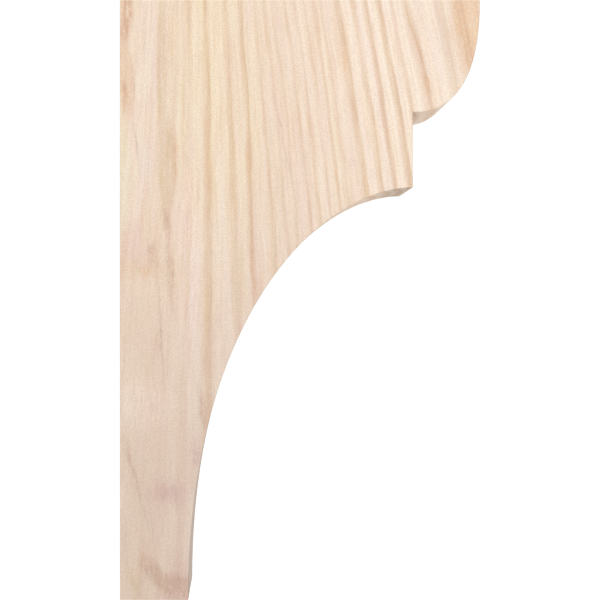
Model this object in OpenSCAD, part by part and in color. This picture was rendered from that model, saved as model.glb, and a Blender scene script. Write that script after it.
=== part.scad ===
// Wooden corbel bracket, sawn to its profile from one thick timber.
// The back face is built against a wall and the flat top carries what overhangs it.
// +X points out from the wall, Y runs side to side and +Z is up.
// The origin is the centre of the back face.

/* [Overall] */
// Height of the back face, against the wall
height = 508; // [300:1:900]
// Reach of the flat top, out from the wall
reach = 304.8; // [200:0.1:600]
// Thickness of the timber, from side to side
thickness = 88.9; // [38:0.1:190]

/* [Nose] */
// Height of the rounded nose, from the top down to its underside
nose_h = 95; // [40:1:140]
// How far the nose stands out beyond the square step below it
nose_out = 56.8; // [20:0.1:90]
// Share of its height over which the nose's front pulls straight down
nose_drop = 0.74; // [0.2:0.01:0.95]
// Share of its overhang over which the nose's underside pulls level
nose_run = 0.59; // [0.2:0.01:0.95]

/* [Step] */
// Height of the square step between the nose and the arch
step_h = 64; // [15:1:120]

/* [Arch] */
// Thickness of the leg at its foot, out from the wall
foot_t = 58; // [30:1:100]
// Share of its span over which the arch leaves the step level
arch_run = 0.41; // [0.2:0.01:0.95]
// Share of its height over which the arch comes down plumb to the foot
arch_drop = 0.69; // [0.2:0.01:0.95]

/* [Smoothness] */
// Number of straight runs along the nose
nose_steps = 36; // [12:1:96]
// Number of straight runs along the arch
arch_steps = 72; // [24:1:160]

/* [Hidden] */

// The profile is drawn with X out from the wall and Y up, from the middle of the back.
top_z = height / 2;
foot_z = -height / 2;
step_x = reach - nose_out;
nose_z = top_z - nose_h;
step_z = nose_z - step_h;

// The nose turns from its plumb front to its level underside.
nose_curve = [
    [reach, top_z],
    [reach, top_z - nose_drop * nose_h],
    [step_x + nose_run * nose_out, nose_z],
    [step_x, nose_z]
];

// The arch turns from level at the step's lower corner to plumb at the foot.
arch_curve = [
    [step_x, step_z],
    [step_x - arch_run * (step_x - foot_t), step_z],
    [foot_t, foot_z + arch_drop * (step_z - foot_z)],
    [foot_t, foot_z]
];

// The point at share t of the cubic curve with the four control points c.
function cubic_point(c, t) =
    pow(1 - t, 3) * c[0]
    + 3 * pow(1 - t, 2) * t * c[1]
    + 3 * (1 - t) * pow(t, 2) * c[2]
    + pow(t, 3) * c[3];

// The whole curve as a list of points, both ends included.
function cubic_path(c, steps) = [for (i = [0 : steps]) cubic_point(c, i / steps)];

// Outline of the side: back edge, foot, arch, step, nose and top.
module profile() {
    polygon(concat(
        [[0, foot_z], [0, top_z]],
        cubic_path(nose_curve, nose_steps),
        cubic_path(arch_curve, arch_steps)
    ));
}

// The whole bracket is one solid piece of timber.
module bracket() {
    color("burlywood")
        rotate([90, 0, 0])
            linear_extrude(height = thickness, center = true)
                profile();
}

bracket();
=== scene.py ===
"""Finish of a wooden corbel bracket, dressed around its packed construction model.

The bracket is sawn from one thick softwood timber. Its shape is a closed surface worked out with numpy
from the profile's named sizes. Its colour comes from one solid pattern of growth rings that runs through
the whole timber, so that every side and every cut shows the same tree.
"""

import logging
import math
from dataclasses import dataclass, field, replace
from enum import Enum
from functools import cached_property
from typing import Any, ClassVar, Union

import bpy
import numpy as np
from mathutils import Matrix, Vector


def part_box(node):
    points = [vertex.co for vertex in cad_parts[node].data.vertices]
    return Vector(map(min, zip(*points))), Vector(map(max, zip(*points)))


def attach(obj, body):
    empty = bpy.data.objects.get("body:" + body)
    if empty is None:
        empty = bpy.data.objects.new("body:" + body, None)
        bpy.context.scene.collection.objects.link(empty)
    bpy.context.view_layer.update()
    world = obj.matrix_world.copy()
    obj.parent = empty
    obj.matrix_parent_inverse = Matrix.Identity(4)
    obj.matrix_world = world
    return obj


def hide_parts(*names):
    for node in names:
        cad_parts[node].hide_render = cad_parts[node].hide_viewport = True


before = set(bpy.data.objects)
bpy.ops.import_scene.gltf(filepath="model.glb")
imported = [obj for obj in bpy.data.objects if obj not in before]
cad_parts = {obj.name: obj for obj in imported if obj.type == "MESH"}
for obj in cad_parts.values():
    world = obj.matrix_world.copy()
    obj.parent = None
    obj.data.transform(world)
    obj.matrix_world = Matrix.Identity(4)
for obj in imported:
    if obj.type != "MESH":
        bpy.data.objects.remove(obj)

LOG = logging.getLogger("corbel")
MM = 0.001
NODE = "bracket"
SLOT = "softwood"
OUTWARDS = np.array([1.0, 0.0])
DOWN = np.array([0.0, -1.0])

Array = np.ndarray
Colour = tuple[float, float, float]
Value = Union["Wire", float]


# --- Shape ---


def cubic_points(curve: Array, start: float, end: float, count: int) -> Array:
    """Points on a cubic curve: the four control points weighted by the cubes of the share gone and to go.

    Args:
        curve: The four control points, one per row.
        start: Share of the curve where the first point lies.
        end: Share of the curve where the last point lies.
        count: Number of points.

    Returns:
        The points, one per row.
    """
    gone = np.linspace(start, end, count)[:, None]
    togo = 1 - gone
    return (
        togo**3 * curve[0]
        + 3 * togo**2 * gone * curve[1]
        + 3 * togo * gone**2 * curve[2]
        + gone**3 * curve[3]
    )


@dataclass(frozen=True)
class CorbelProfile:
    """Side outline of the bracket in millimetres, with x out from the wall and z up from mid height.

    Attributes:
        height: Height of the back.
        reach: Reach of the top, out from the wall.
        nose_height: Height of the rounded nose.
        nose_overhang: How far the nose stands out beyond the square step.
        nose_drop: Share of its height over which the nose's front pulls straight down.
        nose_run: Share of its overhang over which the nose's underside pulls level.
        step_height: Height of the square step.
        foot: Thickness of the leg at its foot.
        arch_run: Share of its span over which the arch leaves the step level.
        arch_drop: Share of its height over which the arch comes down plumb.
        corner: Radius of the sanded corners.
        corner_steps: Straight runs round a sanded corner.
        nose_steps: Straight runs along the nose.
        step_steps: Straight runs down the step.
        arch_steps: Straight runs along the arch.
        columns: Grid columns from the back to the front.
        close: Width of the column along either end, as a share of the others'.
    """

    height: float
    reach: float
    nose_height: float = 95.0
    nose_overhang: float = 56.8
    nose_drop: float = 0.74
    nose_run: float = 0.59
    step_height: float = 64.0
    foot: float = 58.0
    arch_run: float = 0.41
    arch_drop: float = 0.69
    corner: float = 0.9
    corner_steps: int = 4
    nose_steps: int = 64
    step_steps: int = 10
    arch_steps: int = 160
    columns: int = 18
    close: float = 0.08

    @property
    def top(self) -> float:
        """Height of the flat top."""
        return self.height / 2

    @property
    def step_out(self) -> float:
        """Distance of the square step from the wall."""
        return self.reach - self.nose_overhang

    def eased(self, x: float, z: float, into: Array, out: Array) -> Array:
        """A quarter circle in place of a square corner, tangent to both of its edges.

        Args:
            x: Distance of the square corner from the wall.
            z: Height of the square corner.
            into: Unit direction of the edge that runs into it.
            out: Unit direction of the edge that leaves it.

        Returns:
            The points, from the first edge to the second, one per row.
        """
        turn = np.linspace(0, math.pi / 2, self.corner_steps + 1)[:, None]
        centre = np.array([x, z]) - self.corner * into + self.corner * out
        return centre + self.corner * (np.sin(turn) * into - np.cos(turn) * out)

    def nose(self) -> Array:
        """The nose, from its plumb front to the step, as points."""
        under = self.top - self.nose_height
        curve = np.array([
            (self.reach, self.top),
            (self.reach, self.top - self.nose_drop * self.nose_height),
            (self.step_out + self.nose_run * self.nose_overhang, under),
            (self.step_out, under),
        ])
        start = self.corner / (3 * self.nose_drop * self.nose_height)
        return cubic_points(curve, start, 1, self.nose_steps + 1)

    def step(self) -> Array:
        """The plumb face of the step below the nose, without its ends, as points."""
        under = self.top - self.nose_height
        down = np.linspace(under, under - self.step_height + self.corner, self.step_steps + 1)[1:-1]
        return np.column_stack([np.full_like(down, self.step_out), down])

    def arch(self) -> Array:
        """The arch, from the step's lower corner to the foot, as points."""
        spring = self.top - self.nose_height - self.step_height
        span = self.step_out - self.foot
        rise = spring + self.top
        curve = np.array([
            (self.step_out, spring),
            (self.step_out - self.arch_run * span, spring),
            (self.foot, -self.top + self.arch_drop * rise),
            (self.foot, -self.top),
        ])
        start = self.corner / (3 * self.arch_run * span)
        end = 1 - self.corner / (3 * self.arch_drop * rise)
        return cubic_points(curve, start, end, self.arch_steps + 1)

    def front(self) -> Array:
        """The front edge from the top to the foot: nose, step and arch with their sanded corners."""
        spring = self.top - self.nose_height - self.step_height
        return np.concatenate([
            self.eased(self.reach, self.top, OUTWARDS, DOWN)[:-1],
            self.nose(),
            self.step(),
            self.eased(self.step_out, spring, DOWN, -OUTWARDS)[:-1],
            self.arch()[:-1],
            self.eased(self.foot, -self.top, DOWN, -OUTWARDS),
        ])

    def back(self, front: Array) -> Array:
        """The back edge from the top to the foot, with one point for each of the front's.

        The points lie down the back in the same shares as the front's points lie along the front.

        Args:
            front: The front edge.

        Returns:
            The points, one per row.
        """
        ends = self.corner_steps
        run = np.linalg.norm(np.diff(front[ends:-ends], axis=0), axis=1)
        share = np.concatenate([[0.0], np.cumsum(run)]) / run.sum()
        edge = self.top - self.corner
        plumb = np.column_stack([np.zeros_like(share), edge - 2 * edge * share])
        top = self.eased(0.0, self.top, -OUTWARDS, DOWN)
        foot = self.eased(0.0, -self.top, DOWN, OUTWARDS)
        return np.concatenate([top[:-1], plumb, foot[1:]])

    def shares(self) -> Array:
        """Shares of the way from back to front where the grid's columns stand, closer at both ends."""
        inner = np.linspace(0, 1, self.columns - 2)
        close = inner[1] * self.close
        return np.concatenate([[0.0, close], inner[1:-1], [1 - close, 1.0]])


class Side(Enum):
    """The two flat sides of the timber, by the way that they face along Y."""

    NEAR = -1
    FAR = 1


@dataclass
class TimberBlank:
    """The closed surface of a profile sawn through a timber, with every arris sanded round.

    Attributes:
        profile: The side outline.
        thickness: Thickness of the timber, in millimetres.
        arris: Radius of the sanded arrises between the flat sides and the sawn edge.
        arris_steps: Straight runs round an arris.
        inner: Straight runs across the sawn edge, between the two arrises.
        smooth_below: Angle between two faces, in degrees, below which they shade as one surface.
        points: The surface's points, in metres.
        quads: The point numbers of each face.
        end_grain: How squarely the surface cuts across the grain at each point, from 0 to 1.
    """

    profile: CorbelProfile
    thickness: float
    arris: float = 0.6
    arris_steps: int = 4
    inner: int = 9
    smooth_below: float = 35.0
    points: Array = field(init=False)
    quads: Array = field(init=False)
    end_grain: Array = field(init=False)

    def __post_init__(self) -> None:
        """Works out the points, the faces and how far each point's surface crosses the grain.

        Each point of the outline, and of the flat sides within it, is a straight mix of the back
        edge's and the front edge's point in its row.
        """
        front = self.profile.front()
        back = self.profile.back(front)
        share = self.profile.shares()
        rows, columns = len(front), len(share)
        row, column = self._loop_order(rows, columns).T
        part = share[column][:, None]
        loop = back[row] * (1 - part) + front[row] * part
        normal, stretch = self._outward(loop)
        inset, across, slant = self._stations()
        ring = loop[None] - inset[:, None, None] * (normal * stretch)[None]
        wall = np.stack(
            [ring[..., 0], np.broadcast_to(across[:, None], ring.shape[:2]), ring[..., 1]], axis=-1
        )
        stations, around = wall.shape[:2]
        ids = np.arange(stations * around).reshape(stations, around)
        quads = [self._wall_quads(ids)]
        points = [wall.reshape(-1, 3)]
        end_grain = [np.outer(slant, np.abs(normal[:, 1])).ravel()]
        new = (rows - 2) * (columns - 2)
        for side, station in ((Side.NEAR, 0), (Side.FAR, stations - 1)):
            index = np.empty((rows, columns), int)
            index[row, column] = ids[station]
            index[1:-1, 1:-1] = sum(map(len, points)) + np.arange(new).reshape(rows - 2, -1)
            grid = np.zeros((rows, columns, 3))
            grid[row, column] = wall[station]
            within = grid[:, :1] * (1 - share[:, None]) + grid[:, -1:] * share[:, None]
            points.append(within[1:-1, 1:-1].reshape(-1, 3))
            end_grain.append(np.zeros(new))
            quads.append(self._side_quads(index, side))
        self.points = np.concatenate(points) * MM
        self.quads = np.concatenate(quads)
        self.end_grain = np.concatenate(end_grain)

    @staticmethod
    def _loop_order(rows: int, columns: int) -> Array:
        """Grid places of the outline's points: along the top, down, along the foot and up.

        Args:
            rows: Number of grid rows.
            columns: Number of grid columns.

        Returns:
            Row and column of each point.
        """
        across, down = np.arange(columns), np.arange(rows)
        return np.concatenate([
            np.column_stack([np.zeros(columns - 1, int), across[:-1]]),
            np.column_stack([down[:-1], np.full(rows - 1, columns - 1)]),
            np.column_stack([np.full(columns - 1, rows - 1), across[:0:-1]]),
            np.column_stack([down[:0:-1], np.zeros(rows - 1, int)]),
        ])

    @staticmethod
    def _outward(loop: Array) -> tuple[Array, Array]:
        """Outward unit normals of the outline, and how much longer a mitre is than the inset it makes.

        A point's normal is the sum of its two edges' normals, made one long. The mitre's stretch is
        one over the cosine of half the turn.

        Args:
            loop: The closed outline.

        Returns:
            The normals and the stretches, one per row.
        """
        edge = np.roll(loop, -1, axis=0) - loop
        edge /= np.linalg.norm(edge, axis=1, keepdims=True)
        after = np.column_stack([-edge[:, 1], edge[:, 0]])
        both = after + np.roll(after, 1, axis=0)
        length = np.linalg.norm(both, axis=1, keepdims=True)
        return both / length, 2 / length

    def _stations(self) -> tuple[Array, Array, Array]:
        """Stations across the timber, from the near side to the far one.

        Round an arris the inset is the radius times one minus the sine of the turn, and the place
        is the side's less the radius times one minus the cosine.

        Returns:
            Inset, place across the timber and share of sawn edge at each station.
        """
        turn = np.linspace(0, math.pi / 2, self.arris_steps + 1)
        half = self.thickness / 2
        inset = self.arris * (1 - np.sin(turn))
        place = -half + self.arris * (1 - np.cos(turn))
        flat = half - self.arris
        inner = np.linspace(-flat, flat, self.inner + 1)[1:-1]
        support = flat - self.arris
        middle = np.concatenate([[-support], inner, [support]])
        return (
            np.concatenate([inset, np.zeros_like(middle), inset[::-1]]),
            np.concatenate([place, middle, -place[::-1]]),
            np.concatenate([np.sin(turn), np.ones_like(middle), np.sin(turn)[::-1]]),
        )

    @staticmethod
    def _wall_quads(ids: Array) -> Array:
        """Faces of the sawn edge between neighbouring stations, all round the outline."""
        beyond = np.roll(ids, -1, axis=1)
        return np.stack([ids[:-1], beyond[:-1], beyond[1:], ids[1:]], axis=-1).reshape(-1, 4)

    @staticmethod
    def _side_quads(index: Array, side: Side) -> Array:
        """Faces of a flat side's grid, turned to face outwards."""
        quads = np.stack([index[:-1, :-1], index[1:, :-1], index[1:, 1:], index[:-1, 1:]], axis=-1)
        return quads.reshape(-1, 4)[:, :: -side.value]

    def mesh(self, name: str) -> bpy.types.Mesh:
        """The surface as a Blender mesh that carries its end grain as a point attribute.

        Args:
            name: Name of the mesh.

        Returns:
            The mesh.
        """
        mesh = bpy.data.meshes.new(name)
        mesh.from_pydata(self.points, [], self.quads)
        mesh.update()
        ends = mesh.attributes.new(SoftwoodFinish.END_GRAIN, "FLOAT", "POINT")
        ends.data.foreach_set("value", self.end_grain.astype(np.float32))
        mesh.shade_smooth()
        mesh.set_sharp_from_angle(angle=math.radians(self.smooth_below))
        return mesh


# --- Shader writing ---


@dataclass(frozen=True)
class Wire:
    """One value in a shader, so that sums on it can be written as Python expressions."""

    tree: bpy.types.NodeTree
    socket: bpy.types.NodeSocket

    def _math(self, operation: str, *values: Value) -> "Wire":
        """Values put through one Math node."""
        return Shader(self.tree).wire("Math", {"operation": operation}, dict(enumerate(values)))

    def __add__(self, other: Value) -> "Wire":
        """The sum."""
        return self._math("ADD", self, other)

    __radd__ = __add__

    def __sub__(self, other: Value) -> "Wire":
        """The difference."""
        return self._math("SUBTRACT", self, other)

    def __rsub__(self, other: float) -> "Wire":
        """A number less this value."""
        return self._math("SUBTRACT", other, self)

    def __mul__(self, other: Value) -> "Wire":
        """The product."""
        return self._math("MULTIPLY", self, other)

    __rmul__ = __mul__

    def __truediv__(self, other: Value) -> "Wire":
        """The quotient."""
        return self._math("DIVIDE", self, other)

    def __rtruediv__(self, other: float) -> "Wire":
        """A number over this value."""
        return self._math("DIVIDE", other, self)

    def __pow__(self, other: Value) -> "Wire":
        """The power."""
        return self._math("POWER", self, other)

    def __rpow__(self, other: float) -> "Wire":
        """A number to the power of this value."""
        return self._math("POWER", other, self)

    def whole(self) -> "Wire":
        """The whole number below."""
        return self._math("FLOOR", self)

    def fraction(self) -> "Wire":
        """What is left over the whole number below."""
        return self._math("FRACT", self)

    def levelled(self) -> "Wire":
        """The hyperbolic tangent, which levels off at one."""
        return self._math("TANH", self)

    def exponential(self) -> "Wire":
        """The exponential."""
        return self._math("EXPONENT", self)

    def rise(self, low: float, high: float) -> "Wire":
        """A smooth step, from nought up to the low value to one from the high value on."""
        inputs = {"Value": self, "From Min": low, "From Max": high}
        return Shader(self.tree).wire("MapRange", {"interpolation_type": "SMOOTHSTEP"}, inputs)


@dataclass(frozen=True)
class Stops:
    """The stops of a colour ramp.

    Attributes:
        places: Position and colour of each stop.
        stepped: Whether each colour holds until the next stop.
    """

    places: list[tuple[float, Colour]]
    stepped: bool = False

    def fill(self, ramp: bpy.types.ColorRamp) -> None:
        """Sets a ramp's stops.

        Args:
            ramp: The ramp.
        """
        ramp.interpolation = "CONSTANT" if self.stepped else "LINEAR"
        while len(ramp.elements) < len(self.places):
            ramp.elements.new(1.0)
        for element, (position, colour) in zip(ramp.elements, self.places):
            element.position = position
            element.color = (*colour, 1.0)


@dataclass(frozen=True)
class Fleck:
    """One scale of unevenness in the wood.

    Attributes:
        across: Distance from fleck to fleck across the grain, in millimetres.
        along: Distance from fleck to fleck along the grain.
        detail: How many finer scales it holds.
        roughness: How strong each of them is beside the last.
        moved: Shift of the pattern, so that no two alike fall together.
        tone: How far it lightens and darkens the wood.
        relief: How far it raises the surface, as a share of the bump's height.
    """

    across: float
    along: float
    detail: float = 1.0
    roughness: float = 0.5
    moved: float = 0.0
    tone: float = 0.0
    relief: float = 0.0


@dataclass(frozen=True)
class Shader:
    """Writes nodes into one material's tree."""

    tree: bpy.types.NodeTree

    MULTIPLY: ClassVar[dict[str, str]] = {"data_type": "RGBA", "blend_type": "MULTIPLY"}

    def node(self, kind: str, settings: dict[str, Any], inputs: dict[Any, Any]) -> bpy.types.Node:
        """Makes a node.

        Args:
            kind: Type of the node, without its prefix.
            settings: Its own settings, such as a Math node's operation or a ramp's stops, set first.
            inputs: Values or wires by the name or number of the socket.

        Returns:
            The node.
        """
        made = self.tree.nodes.new("ShaderNode" + kind)
        for name, value in settings.items():
            if isinstance(value, Stops):
                value.fill(getattr(made, name))
            else:
                setattr(made, name, value)
        for name, value in inputs.items():
            if isinstance(value, Wire):
                self.tree.links.new(value.socket, made.inputs[name])
            else:
                made.inputs[name].default_value = value
        return made

    def wire(self, kind: str, settings: dict[str, Any], inputs: dict[Any, Any], out: Any = 0) -> Wire:
        """Makes a node and gives its output of that name or number."""
        return Wire(self.tree, self.node(kind, settings, inputs).outputs[out])

    def point(self) -> Wire:
        """The point on the object in millimetres."""
        spot = self.wire("TexCoord", {}, {}, "Object")
        return self.wire("VectorMath", {"operation": "SCALE"}, {0: spot, "Scale": 1 / MM})

    def split(self, whole: Wire, colour: bool = False) -> tuple[Wire, Wire, Wire]:
        """The three parts of a vector or a colour."""
        parts = self.node("SeparateColor" if colour else "SeparateXYZ", {}, {0: whole})
        return tuple(Wire(self.tree, part) for part in parts.outputs)

    def vector(self, x: Value, y: Value, z: Value) -> Wire:
        """Three values as one vector."""
        return self.wire("CombineXYZ", {}, {0: x, 1: y, 2: z})

    def scaled(self, vector: Wire, factors: Array, offset: Any) -> Wire:
        """A vector times three factors, plus an offset."""
        inputs = {0: vector, 1: factors.tolist(), 2: offset}
        return self.wire("VectorMath", {"operation": "MULTIPLY_ADD"}, inputs)

    def ramp(self, at: Wire, stops: Stops) -> Wire:
        """A colour ramp through the given stops."""
        return self.wire("ValToRGB", {"color_ramp": stops}, {"Fac": at}, "Color")

    def stain(self, colour: Any, share: Value, tint: Any) -> Wire:
        """A colour multiplied by as large a share of a tint as asked, each a wire or three numbers."""
        under, over = (end if isinstance(end, Wire) else (*end, 1.0) for end in (colour, tint))
        return self.wire("Mix", self.MULTIPLY, {0: share, 6: under, 7: over}, 2)


@dataclass(frozen=True)
class Spot:
    """A point of the wood as a shader knows it, in millimetres.

    Attributes:
        shader: Writes the nodes.
        x: Distance from the wall.
        y: Place across the thickness.
        z: Height above the bracket's middle.
        down: Distance below the top, as a share of the span of the tree's slow changes and of the painted
            shade towards the foot.
    """

    shader: Shader
    x: Wire
    y: Wire
    z: Wire
    down: Wire

    @cached_property
    def straight(self) -> Wire:
        """The point as one vector."""
        return self.shader.vector(self.x, self.y, self.z)

    @cached_property
    def crossed(self) -> Wire:
        """The point as one vector with x and z exchanged."""
        return self.shader.vector(self.z, self.y, self.x)

    def noise(self, fleck: Fleck) -> Wire:
        """Smooth noise from about -1 to 1: the point over the fleck's size looks up a smooth pattern.

        Args:
            fleck: The scale of the noise.

        Returns:
            The noise.
        """
        across = self.x / fleck.across
        if fleck.moved:
            across = across + fleck.moved
        at = self.shader.vector(across, self.y / fleck.across, self.z / fleck.along)
        inputs = {"Vector": at, "Scale": 1.0, "Detail": fleck.detail, "Roughness": fleck.roughness}
        return self.shader.wire("TexNoise", {"noise_dimensions": "3D"}, inputs) * 2 - 1


# --- The timber's grain ---


@dataclass(frozen=True)
class Year:
    """One year's growth, placed by where it shows along the top of the near side.

    Attributes:
        out: Distance from the wall, in millimetres, where the year ends in late wood.
        dark: How dark its late wood is.
        width: Width of its late wood, in millimetres.
        cream: How pale its early wood is.
        honey: How yellow it is.
    """

    out: float
    dark: float
    width: float = 3.0
    cream: float = 0.3
    honey: float = 0.0


class Tint(Enum):
    """Local tints of the wood, each as the share of red, green and blue that it leaves.

    A share above one is wood that is paler or bluer there. One of them is no tint of the wood but painted
    shade on the sawn undersides at the step.
    """

    ROSE = (0.84, 0.75, 0.72)
    AMBER = (0.93, 0.82, 0.72)
    TAN = (0.925, 0.83, 0.69)
    MAUVE = (0.90, 0.82, 0.87)
    SPLIT = (0.78, 0.74, 0.71)
    # Painted shade, not a stain: darkens the sawn undersides at the step.
    PAINTED_SHADE = (0.60, 0.565, 0.545)
    LEMON = (0.97, 0.985, 0.86)
    OLIVE = (0.90, 0.88, 0.76)
    GREY = (0.91, 0.90, 0.90)
    UMBER = (0.91, 0.87, 0.81)
    LILAC = (1.04, 1.02, 1.13)
    SAGE = (0.98, 1.005, 1.02)
    REED = (0.975, 1.05, 1.03)
    PALE = (1.08, 1.10, 1.13)


@dataclass(frozen=True)
class Patch:
    """A long patch at one of the flat sides, which fades off into the timber.

    Attributes:
        out: Distance of its middle from the wall, in millimetres.
        up: Height of its middle above the bracket's middle.
        width: Half its width.
        length: Half its length.
        strength: How strong it is at the middle, as a share of its tint or in millimetres of bend.
        lean: Turn of its length from plumb, in degrees, with the upper end outwards.
        depth: How deep it goes.
        side: The flat side that it lies on.
        crisp: How crisp its edge is, from 1 for one that fades off from the middle.
        cut: Whether it only shows where the saw has crossed the grain, as the painted shade on the
            undersides at the step does.
    """

    out: float
    up: float
    width: float
    length: float
    strength: float
    lean: float = 0.0
    depth: float = 14.0
    side: Side = Side.NEAR
    crisp: float = 1.0
    cut: bool = False


YEARS = (
    Year(50.0, 0.05, 3.0, 0.4, 0.4),
    Year(60.0, 0.10, 1.6, 0.4, 0.9),
    Year(74.0, 0.68, 2.0, 0.8, 1.0),
    Year(90.8, 0.38, 2.2, 0.8, 0.8),
    Year(102.8, 0.62, 2.4, 0.6, 0.5),
    Year(115.0, 0.40, 1.8, 0.5, 0.4),
    Year(123.4, 0.30, 1.8, 0.3, 0.3),
    Year(130.6, 0.40, 1.8, 0.3, 0.1),
    Year(141.0, 0.42, 2.0, 0.3),
    Year(149.0, 0.36, 1.8, 0.3),
    Year(156.8, 0.25, 1.8, 0.6),
    Year(164.6, 0.36, 2.2, 0.4, 0.1),
    Year(170.6, 0.25, 2.0, 0.6, 0.1),
    Year(186.4, 0.90, 4.4, 0.5, 0.1),
    Year(198.4, 0.80, 3.0, 0.9),
    Year(208.6, 0.95, 3.0, 1.0),
    Year(220.6, 1.10, 3.6, 1.0),
    Year(231.0, 0.45, 2.6, 1.0),
    Year(248.4, 0.60, 5.5, 1.0),
    Year(271.0, 0.20, 4.0, 1.0),
    Year(291.0, 0.40, 9.0, 0.7, 0.1),
    Year(312.0, 0.50, 5.0, 0.2),
)
BENDS = (
    Patch(246, 254, 11, 42, -5.8, depth=60),
    Patch(101, 254, 8, 26, 2.6, depth=40),
    Patch(112, 45, 9, 60, -2.4, depth=50),
)
MARKS = (
    (Tint.ROSE, (
        Patch(7, 250, 4.5, 22, 0.7, -2, crisp=2),
        Patch(4, 228, 3.4, 12, 0.5, crisp=2),
        Patch(4.5, 176, 3.2, 13, 0.5, -4, crisp=2),
        Patch(11.2, 188, 1.3, 24, 0.55, -7, depth=5),
        Patch(59, 238, 1.6, 18, 0.3, -5),
        Patch(32.5, -36, 4.5, 12, 0.3, crisp=2),
        Patch(40.5, 64, 4.0, 13, 0.75, -6, crisp=1.5),
        Patch(43.4, 18, 3.8, 34, 0.65, -5, crisp=1.5),
        Patch(27, 40, 4, 9, 0.75, -4),
        Patch(69.5, -93, 2.8, 18, 0.75, -9),
        Patch(63, -147, 4, 14, 0.4),
        Patch(8.5, -134, 2.6, 24, 0.45, -9),
        Patch(30, -232, 6.4, 16, 1.0, -34, crisp=1.5),
        Patch(47, -240.5, 15, 8, 1.0, crisp=1.5),
        Patch(60, -250, 12, 22, 0.75),
        Patch(5.3, -211, 1.7, 26, 0.25, -2),
        Patch(251.5, 242, 5, 20, 0.35, -8),
        Patch(60, 150, 9, 60, 0.4, -3, side=Side.FAR),
    )),
    (Tint.AMBER, (
        Patch(4.5, 246, 5.8, 34, 0.6, crisp=3),
        Patch(5.5, 186, 7, 32, 0.62, -4, crisp=3),
        Patch(75, 110, 5.6, 20, 0.35, crisp=2),
        Patch(47.2, 120, 3.4, 20, 0.6, -2, crisp=1.5),
        Patch(190, 206, 4, 19, 0.8, -8),
        Patch(259.7, 183, 3.4, 10, 0.6, -17, crisp=2),
        Patch(109, 114, 2.2, 24, 0.55, -3, crisp=2),
        Patch(112.5, 28, 2.2, 32, 0.6, -3, crisp=2),
        Patch(302, 236, 20, 52, 0.9, -5, depth=40, crisp=3),
        Patch(285, 250, 3.4, 20, 0.4, -8, depth=30),
        Patch(180, 190, 12, 45, 0.5, -7, side=Side.FAR),
    )),
    (Tint.TAN, (
        Patch(71.5, 208, 3.4, 24, 0.45),
        Patch(166, 228, 5, 26, 0.33, -4),
        Patch(73.5, 4, 4, 62, 0.5),
        Patch(19, 26, 21, 6.5, 0.55),
    )),
    (Tint.MAUVE, (
        Patch(12, 46, 16, 18, 0.35, crisp=2),
        Patch(65, -128, 5.5, 14, 0.9, -9),
        Patch(41, -163, 14, 9, 1.05, 4),
        Patch(45, -252, 15, 5, 0.6, crisp=2),
        Patch(51, -226, 9, 14, 0.3),
    )),
    (Tint.SPLIT, (
        Patch(13.6, 134, 1.0, 16, 0.8, -6, depth=5),
        Patch(35.2, -34, 0.8, 46, 0.6, -3, depth=5),
        Patch(15.3, -158, 1.6, 30, 0.35, -16, depth=5),
        Patch(43.4, -142, 0.7, 12, 0.4, -2, depth=5),
        Patch(50, -150, 0.7, 10, 0.4, -10, depth=5),
        Patch(27, -188, 0.8, 24, 0.3, -6, depth=5),
        Patch(139, 132, 0.7, 46, 0.45, -12, depth=5),
        Patch(93.6, 130, 0.7, 34, 0.3, -2, depth=5),
        Patch(96, 60, 0.8, 40, 0.5, -4, depth=5, side=Side.FAR),
    )),
    # Painted shade on the sawn undersides at the step: under its lower corner, where the arch begins, and
    # in the crease under the nose.
    (Tint.PAINTED_SHADE, (
        Patch(254, 96, 38, 16, 1.2, depth=200, cut=True),
        Patch(248, 159, 7, 12, 0.3, depth=200, cut=True),
    )),
    (Tint.LEMON, (
        Patch(56, 200, 10, 50, 0.15),
    )),
    (Tint.OLIVE, (
        Patch(35.2, 206, 4.2, 60, 0.4, crisp=3),
        Patch(100, 20, 7.5, 36, 0.4, -4, crisp=2),
        Patch(14, -16, 9, 26, 0.25),
        Patch(10.5, -238, 2.8, 13, 0.6, -19),
        Patch(17.8, -230, 3.0, 20, 0.6, 6),
    )),
    (Tint.GREY, (
        Patch(21.5, 222, 5, 34, 0.3),
        Patch(276, 222, 6.4, 48, 0.65, -11, depth=30, crisp=2),
    )),
    (Tint.UMBER, (
        Patch(35.2, 202, 4.6, 62, 0.55, crisp=3),
        Patch(40.3, 112, 7.8, 40, 1.15, crisp=3),
        Patch(130, 92, 11, 34, 0.3),
    )),
    (Tint.LILAC, (
        Patch(22, 102, 7, 28, 0.5),
        Patch(58, 18, 8.5, 88, 0.55, crisp=2),
    )),
    (Tint.SAGE, (
        Patch(34, 166, 38, 92, 0.5, crisp=2),
    )),
    (Tint.REED, (
        Patch(22, 102, 7, 28, 0.7),
        Patch(2, 106, 7, 44, 1.0, crisp=2),
    )),
    (Tint.PALE, (
        Patch(58, 88, 4, 20, 0.6),
        Patch(208, 97, 4, 16, 0.6, -14),
        Patch(19, -88, 25, 23, 0.85, crisp=2),
        Patch(1, -169, 5, 16, 0.9),
    )),
)


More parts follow.
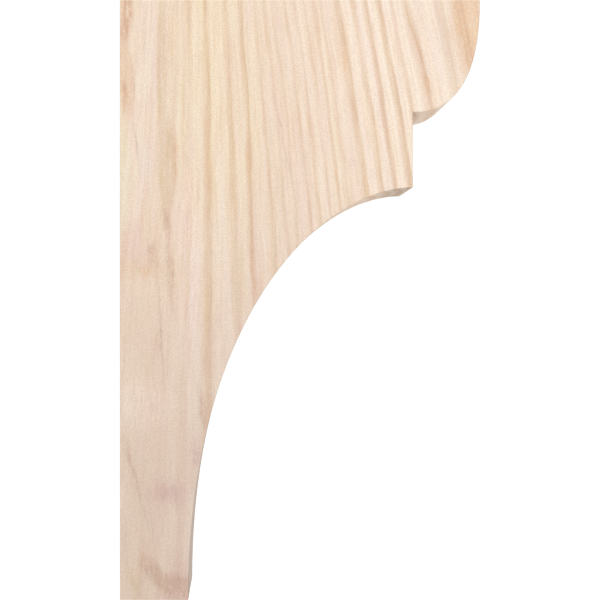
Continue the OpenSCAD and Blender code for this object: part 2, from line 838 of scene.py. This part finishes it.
@dataclass(frozen=True)
class Growth:
    """The tree around the timber: where its heart runs and how its years follow one another.

    Attributes:
        heart: Distance of the heart from the wall, at the top.
        heart_drift: How far it has moved outwards over the span.
        depth: How far the heart lies behind the near side, at the top.
        depth_drift: How much deeper it lies at the end of the span.
        flare_from: Distance from the wall where the rings start to lean outwards, at the top.
        flare_drift: How far that line has moved outwards over the span.
        flare_reach: Distance over which the lean grows to its full value.
        flare: Full lean at the top, as a share of the flare's reach over the height.
        flare_ease: How much of it is lost over the span.
        core: Number of years inside the first one listed.
        core_year: What each of them is like.
        sapwood: Distances from the heart where the paler sapwood sets in and is complete.
        years: The years that reach the near side, outwards from the heart.
        bends: Where the rings bulge outwards.
        marks: The stains, streaks and splits of each tint, and the painted shade on the undersides at the
            step, in the order in which they lie on the wood.
    """

    heart: float = 22.0
    heart_drift: float = 5.0
    depth: float = 57.6
    depth_drift: float = 2.5
    flare_from: float = 45.4
    flare_drift: float = 36.5
    flare_reach: float = 152.0
    flare: float = 0.788
    flare_ease: float = 0.464
    core: int = 6
    core_year: Year = Year(0.0, 0.5)
    sapwood: tuple[float, float] = (100.0, 200.0)
    years: tuple[Year, ...] = YEARS
    bends: tuple[Patch, ...] = BENDS
    marks: tuple[tuple[Tint, tuple[Patch, ...]], ...] = MARKS

    def edges(self) -> Array:
        """Radii where the years end: even ones in the core, then those that reach the near side.

        A listed year's radius is the root of the squares of its distance from the heart along the
        side and of the heart's depth.

        Returns:
            The radii, in millimetres, outwards from the heart.
        """
        out = np.array([year.out for year in self.years])
        listed = np.hypot(out - self.heart, self.depth)
        core = np.linspace(0, listed[0], self.core + 2)[1:-1]
        return np.concatenate([core, listed])


@dataclass(frozen=True)
class SoftwoodFinish:
    """Smooth sanded, unfinished pale softwood.

    Attributes:
        growth: The tree around the timber.
        top: Height of the timber's top above its middle, in millimetres.
        near: Place of its near side across the thickness.
        early: Colour of the early wood.
        cream: What the palest early wood multiplies it by.
        honey: What the yellow years multiply it by.
        sap: What the outer years, the sapwood, multiply it by.
        late: What the late wood multiplies it by.
        streak: What the darkest threads along the grain multiply it by.
        pale_streak: What the palest threads along the grain multiply it by.
        blush: What the faint rosy patches multiply it by.
        low: Painted shade: what the lower end of the span multiplies it by, darker towards the foot as the
            light falls off from above.
        end: What end grain multiplies it by.
        roughness: Roughness of the early wood.
        specular: Strength of its gloss.
        ior: Its index of refraction.
        relief: Strength of the bump.
        relief_height: Height of the bump, in millimetres.

    The class's own values are the name of the end grain attribute, the span below the top over which the
    tree's slow changes and the painted shade towards the foot run, in millimetres, the most years that a
    ramp can count, the strength of the darkest late wood, and the flecks, from the slow waver of the rings
    down to the sanding grit.
    """

    growth: Growth
    top: float
    near: float
    early: Colour = (0.584, 0.467, 0.372)
    cream: Colour = (1.05, 1.095, 1.13)
    honey: Colour = (0.99, 0.99, 0.89)
    sap: Colour = (1.052, 1.070, 1.080)
    late: Colour = (0.865, 0.79, 0.71)
    streak: Colour = (0.94, 0.86, 0.80)
    pale_streak: Colour = (1.05, 1.07, 1.10)
    blush: Colour = (0.98, 0.94, 0.97)
    low: Colour = (0.850, 0.835, 0.842)
    end: Colour = (0.99, 0.955, 0.92)
    roughness: float = 0.62
    specular: float = 0.3
    ior: float = 1.45
    relief: float = 0.25
    relief_height: float = 0.1

    END_GRAIN: ClassVar[str] = "end_grain"
    SPAN: ClassVar[float] = 500.0
    STEPS: ClassVar[int] = 32
    DARKEST: ClassVar[float] = 1.2
    SLOW_WAVER: ClassVar[Fleck] = Fleck(60, 260)
    QUICK_WAVER: ClassVar[Fleck] = Fleck(15, 55, 2.0)
    ROSY: ClassVar[Fleck] = Fleck(8, 90, 3.0, 0.6, moved=3.1)
    LEMON: ClassVar[Fleck] = Fleck(7, 80, 3.0, 0.6, moved=9.7)
    UNEVEN: ClassVar[Fleck] = Fleck(5, 60, 2.0)
    EDGE_WAVER: ClassVar[Fleck] = Fleck(12, 16, 2.0)
    BROKEN: ClassVar[Fleck] = Fleck(3, 5, 2.0)
    THREAD: ClassVar[Fleck] = Fleck(2.6, 60, 2.0, 0.6, relief=0.3)
    FIBRE: ClassVar[Fleck] = Fleck(1.2, 14, 1.0, 0.6, tone=0.05, relief=0.3)
    MOTTLE: ClassVar[Fleck] = Fleck(3, 6, tone=0.05)
    GRIT: ClassVar[Fleck] = Fleck(1.2, 1.3, 1.0, 0.8, tone=0.26, relief=0.3)

    def material(self, name: str) -> bpy.types.Material:
        """Writes the material.

        Args:
            name: Name of the material.

        Returns:
            The material.
        """
        made = bpy.data.materials.new(name)
        made.use_nodes = True
        made.node_tree.nodes.clear()
        shader = Shader(made.node_tree)
        x, y, z = shader.split(shader.point())
        spot = Spot(shader, x, y, z, (self.top - z) / self.SPAN)
        stem = self._straightened(spot)
        tones = self._years(stem)
        attribute = {"attribute_type": "GEOMETRY", "attribute_name": self.END_GRAIN}
        ends = shader.wire("Attribute", attribute, {}, "Fac")
        thread = stem.noise(self.THREAD)
        fibre = stem.noise(self.FIBRE)
        grit = spot.noise(self.GRIT)
        mottle = spot.noise(self.MOTTLE)
        tone = fibre * self.FIBRE.tone + grit * self.GRIT.tone + mottle * self.MOTTLE.tone + 1
        wood = self._sound_wood(stem, tones)
        seen = thread * (1 - stem.down.rise(0.4, 0.8) * 0.7)
        wood = shader.stain(wood, seen * 1.7, self.streak)
        wood = shader.stain(wood, seen * -1.4, self.pale_streak)
        wood = self._stains(spot, wood, ends, fibre)
        wood = shader.stain(wood, 1.0, shader.vector(tone, tone, tone))
        wood = shader.stain(wood, ends, self.end)
        height = thread * self.THREAD.relief + fibre * self.FIBRE.relief + grit * self.GRIT.relief
        dark = tones[0]
        bump = {"Strength": self.relief, "Distance": self.relief_height * MM, "Height": height + dark * 0.6}
        inputs = {
            "Base Color": wood,
            "Roughness": self.roughness - dark * 0.08 + ends * 0.12 + grit * 0.03,
            "Normal": shader.wire("Bump", {}, bump, "Normal"),
            "IOR": self.ior,
            "Specular IOR Level": self.specular,
        }
        surface = shader.wire("BsdfPrincipled", {}, inputs)
        shader.node("OutputMaterial", {}, {"Surface": surface})
        return made

    def _straightened(self, spot: Spot) -> Spot:
        """Where the fibre at a point stands at the top of the timber.

        Beyond the line where the rings start to lean, it is x less the reach times the hyperbolic
        tangent of the distance from that line over the reach, times the lean built up so far down.
        Each bend then takes its bulge off.

        Args:
            spot: The point.

        Returns:
            The point with its distance from the wall put right.
        """
        grown, down = self.growth, spot.down
        beyond = spot.x - grown.flare_from - down * grown.flare_drift
        curved = (beyond / grown.flare_reach).levelled() * grown.flare_reach
        along = spot.x - curved * (down * grown.flare - down * down * grown.flare_ease)
        for bend in grown.bends:
            along = along - self._bell(spot, bend)
        return replace(spot, x=along)

    def _radius(self, stem: Spot) -> Wire:
        """Distance from the heart, with the slow and the quick waver that every tree has.

        It is the root of the squares of the distances across and into the timber, plus the wavers.

        Args:
            stem: The point, straightened.

        Returns:
            The distance, in millimetres.
        """
        grown, down = self.growth, stem.down
        out = stem.x - grown.heart - down * grown.heart_drift
        deep = stem.y - self.near - grown.depth - down * grown.depth_drift
        straight = (out * out + deep * deep) ** 0.5
        return straight + stem.noise(self.SLOW_WAVER) * 1.8 + stem.noise(self.QUICK_WAVER) * 1.6

    def _years(self, stem: Spot) -> tuple[Wire, Wire, Wire, Wire]:
        """Turns the distance from the heart into what kind of wood grew there.

        A ramp turns the radius into the number of years, whose whole part looks up the year's
        character in a second ramp. Late wood darkens slowly and ends at the year's edge, and pale
        wood fades in behind that edge and stops where the next late wood starts.

        Args:
            stem: The point, straightened.

        Returns:
            How far the wood is late wood, pale early wood, a yellow year and sapwood.
        """
        grown, shader = self.growth, stem.shader
        radius = self._radius(stem)
        edges = grown.edges()
        limit = float(edges[-1])
        years = [grown.core_year] * grown.core + list(grown.years)
        places = [float(edge) / limit for edge in edges]
        counts = [count / self.STEPS for count in range(len(edges) + 1)]
        counted = Stops([(place, (count,) * 3) for place, count in zip([0.0] + places, counts)])
        age = shader.split(shader.ramp(radius / limit, counted), colour=True)[0] * self.STEPS
        gaps = np.diff(edges, prepend=0.0)
        looks = [
            (year.dark / self.DARKEST, min(year.width / float(gap), 0.9), year.cream)
            for year, gap in zip(years, gaps)
        ]
        look = shader.ramp((age.whole() + 0.5) / self.STEPS, Stops(list(zip(counts, looks)), stepped=True))
        latewood, share, cream = shader.split(look, colour=True)
        yellow = Stops([(place, (year.honey,) * 3) for place, year in zip(places, years)])
        honey = shader.split(shader.ramp(radius / limit, yellow), colour=True)[0]
        part = age.fraction()
        before = (part - 1) / share
        dark = before.rise(-1.7, -0.55) * (1 - before.rise(-0.3, 0.0)) * latewood * self.DARKEST
        pale = cream * (1 - before.rise(-2.2, -1.2)) * part.rise(0.0, 0.12)
        return dark, pale, honey, radius.rise(*grown.sapwood)

    def _sound_wood(self, stem: Spot, tones: tuple[Wire, Wire, Wire, Wire]) -> Wire:
        """Early wood changed in turn by its tones and by painted shade towards the foot, with the late
        wood's uneven lines on it.

        Args:
            stem: The point, straightened.
            tones: How far it is late wood, pale early wood, a yellow year and sapwood.

        Returns:
            The colour.
        """
        dark, pale, honey, sap = tones
        stain, down = stem.shader.stain, stem.down
        yellow = honey * (1 - down.rise(0.12, 0.6))
        yellow = yellow + stem.noise(self.LEMON) * (1.3 - down.rise(0.6, 0.85))
        wood = stain(stain(self.early, pale, self.cream), sap, self.sap)
        wood = stain(wood, yellow, self.honey)
        wood = stain(wood, stem.noise(self.ROSY) * 1.7 + 0.2, self.blush)
        # Painted shade: darker towards the foot, as the light falls off from above.
        wood = stain(wood, down.rise(0.2, 0.9), self.low)
        uneven = stem.noise(self.UNEVEN) * 1.6 + 1
        return stain(wood, dark * uneven * (1 - down.rise(0.6, 0.8) * 0.8), self.late)

    def _stains(self, spot: Spot, wood: Wire, ends: Wire, fibre: Wire) -> Wire:
        """Puts the marks on, the painted shade under the step among them, whose edges waver and whose tints
        break up along the fibres.

        Args:
            spot: The point.
            wood: Colour of the wood without them.
            ends: How squarely the surface cuts across the grain.
            fibre: Noise of the single fibres.

        Returns:
            The colour.
        """
        waver = spot.noise(self.EDGE_WAVER)
        broken = spot.noise(self.BROKEN) * 0.9 + fibre * 1.2 + 1
        moved = replace(spot, x=spot.x + waver * 1.5, z=spot.z + waver * 5)
        for tint, patches in self.growth.marks:
            strength = 0.0
            for patch in patches:
                bell = self._bell(moved, patch)
                # Patches that show only on end grain are the painted shade on the undersides at the step.
                strength = (bell * ends if patch.cut else bell) + strength
            wood = spot.shader.stain(wood, broken * strength, tint.value)
        return wood

    def _bell(self, spot: Spot, patch: Patch) -> Wire:
        """Strength of a patch at a point.

        It is the exponential of minus the sum of the squares of the distances over the half sizes,
        that sum first raised to the crispness. The distances are turned by the lean: across is the
        cosine times x less the sine times z, and along is the cosine times z plus the sine times x.

        Args:
            spot: The point.
            patch: The patch.

        Returns:
            The strength.
        """
        shader = spot.shader
        lean = math.radians(patch.lean)
        half = np.array([patch.width, patch.depth, patch.length])
        middle = np.array([patch.out, self.near * -patch.side.value, patch.up])
        own = np.array([math.cos(lean), 1.0, math.cos(lean)]) / half
        other = np.array([-math.sin(lean), 0.0, math.sin(lean)]) / half
        offset = (-middle * own - middle[::-1] * other).tolist()
        if patch.lean:
            offset = shader.scaled(spot.crossed, other, offset)
        place = shader.scaled(spot.straight, own, offset)
        square = shader.wire("VectorMath", {"operation": "DOT_PRODUCT"}, {0: place, 1: place}, 1)
        if patch.crisp != 1.0:
            square = square**patch.crisp
        return (square * -1).exponential() * patch.strength


# --- The object and its studio ---


@dataclass
class CorbelBracket:
    """The bracket: one solid piece of timber.

    Attributes:
        name: Name of the visible piece.
        body: The body that it rides on.
    """

    name: str = "corbel_bracket"
    body: str = "root"

    def build(self) -> bpy.types.Object:
        """Makes the piece in place of its construction solid.

        Returns:
            The piece.
        """
        low, high = (np.array(corner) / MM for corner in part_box(NODE))
        size = high - low
        profile = CorbelProfile(height=float(size[2]), reach=float(size[0]))
        blank = TimberBlank(profile, float(size[1]))
        piece = bpy.data.objects.new(self.name, blank.mesh(self.name))
        bpy.context.scene.collection.objects.link(piece)
        finish = SoftwoodFinish(Growth(), profile.top, -blank.thickness / 2)
        piece.data.materials.append(finish.material(SLOT))
        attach(piece, self.body)
        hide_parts(NODE)
        LOG.info("%s: %d points, %d faces", piece.name, len(blank.points), len(blank.quads))
        return piece


@dataclass(frozen=True)
class Panel:
    """A square panel light that faces the bracket.

    Attributes:
        name: Name of the light.
        place: Where it stands, in metres.
        width: Its width, in metres.
        watts: Its power.
    """

    name: str
    place: tuple[float, float, float]
    width: float
    watts: float


@dataclass
class Studio:
    """Plain pale floor, soft light and the camera square to the near side.

    Attributes:
        near: Place of the near side across the thickness, in metres.
        foot: Height of the bracket's foot.
        distance: Distance of the camera in front of the near side.
        out: How far out from the wall the camera stands.
        up: Height of the camera above the bracket's middle.
        lens: Focal length, in millimetres, on a sensor of the width below.
        sensor: Width of the sensor, in millimetres.
        shift: Shift of the picture across and up, as shares of its width.
        floor_below: Drop from the foot to the floor.
        floor_half: Half the width of the floor.
        floor_white: How much light the floor gives back.
        white: Brightness of the surroundings as seen.
        soft: Brightness of the surroundings as they light the bracket.
        overhead: Strength of the light from straight above.
        overhead_spread: How wide that light is, in degrees.
        aim: The point that the panels face.
        panels: The panel lights, high in front and behind.
    """

    near: float
    foot: float
    distance: float = 1.081
    out: float = 0.1028
    up: float = -0.0015
    lens: float = 76.66
    sensor: float = 36.0
    shift: tuple[float, float] = (0.0979, 0.003)
    floor_below: float = 1.1
    floor_half: float = 30.0
    floor_white: float = 0.98
    white: float = 1.03
    soft: float = 0.528
    overhead: float = 1.85
    overhead_spread: float = 30.0
    aim: tuple[float, float, float] = (0.15, 0.0, 0.0)
    panels: tuple[Panel, ...] = (
        Panel("key", (-0.15, -2.35, 1.0), 1.6, 42.3),
        Panel("fill", (-1.3, 1.5, 1.1), 1.0, 12.7),
    )

    def build(self) -> None:
        """Makes the surroundings, the floor, the lights and the camera."""
        self._surroundings()
        self._floor()
        self._overhead()
        for panel in self.panels:
            self._panel(panel)
        self._camera()
        LOG.info("studio: floor, %d lights and camera", len(self.panels) + 1)

    def _surroundings(self) -> None:
        """Soft light from all round, which shows as plain white behind the bracket."""
        world = bpy.data.worlds.new("surroundings")
        world.use_nodes = True
        world.node_tree.nodes.clear()
        shader = Shader(world.node_tree)
        seen = shader.wire("LightPath", {}, {}, "Is Camera Ray")
        strength = seen * (self.white - self.soft) + self.soft
        light = shader.wire("Background", {}, {"Strength": strength, "Color": (1, 1, 1, 1)})
        shader.node("OutputWorld", {}, {"Surface": light})
        bpy.context.scene.world = world
        view = bpy.context.scene.view_settings
        view.view_transform = "Standard"
        view.look = "None"

    def _floor(self) -> None:
        """A wide plain pale floor."""
        half = self.floor_half
        level = self.foot - self.floor_below
        mesh = bpy.data.meshes.new("floor")
        corners = [(-half, -half, level), (half, -half, level), (half, half, level), (-half, half, level)]
        mesh.from_pydata(corners, [], [(0, 1, 2, 3)])
        floor = bpy.data.objects.new("floor", mesh)
        bpy.context.scene.collection.objects.link(floor)
        pale = bpy.data.materials.new("pale_floor")
        pale.use_nodes = True
        surface = pale.node_tree.nodes["Principled BSDF"]
        surface.inputs["Base Color"].default_value = (*[self.floor_white] * 3, 1.0)
        surface.inputs["Roughness"].default_value = 0.9
        floor.data.materials.append(pale)

    def _overhead(self) -> None:
        """A broad light from straight above."""
        data = bpy.data.lights.new("overhead", "SUN")
        data.energy = self.overhead
        data.angle = math.radians(self.overhead_spread)
        bpy.context.scene.collection.objects.link(bpy.data.objects.new("overhead", data))

    def _panel(self, panel: Panel) -> None:
        """Hangs a panel light and turns it to its aim.

        Args:
            panel: The light.
        """
        data = bpy.data.lights.new(panel.name, "AREA")
        data.shape = "SQUARE"
        data.size = panel.width
        data.energy = panel.watts
        lamp = bpy.data.objects.new(panel.name, data)
        lamp.location = panel.place
        lamp.rotation_euler = (Vector(self.aim) - Vector(panel.place)).to_track_quat("-Z", "Y").to_euler()
        bpy.context.scene.collection.objects.link(lamp)

    def _camera(self) -> None:
        """The camera, level and square to the near side."""
        data = bpy.data.cameras.new("camera")
        data.lens = self.lens
        data.sensor_width = self.sensor
        data.shift_x, data.shift_y = self.shift
        camera = bpy.data.objects.new("camera", data)
        camera.location = (self.out, self.near - self.distance, self.up)
        camera.rotation_euler = (math.pi / 2, 0, 0)
        bpy.context.scene.collection.objects.link(camera)
        bpy.context.scene.camera = camera


def main() -> None:
    """Builds the bracket and its studio, and reports them."""
    logging.basicConfig(level=logging.INFO)
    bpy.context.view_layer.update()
    bracket = CorbelBracket()
    bracket.build()
    low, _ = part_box(NODE)
    Studio(near=low.y, foot=low.z).build()


if __name__ == "__main__":
    main()
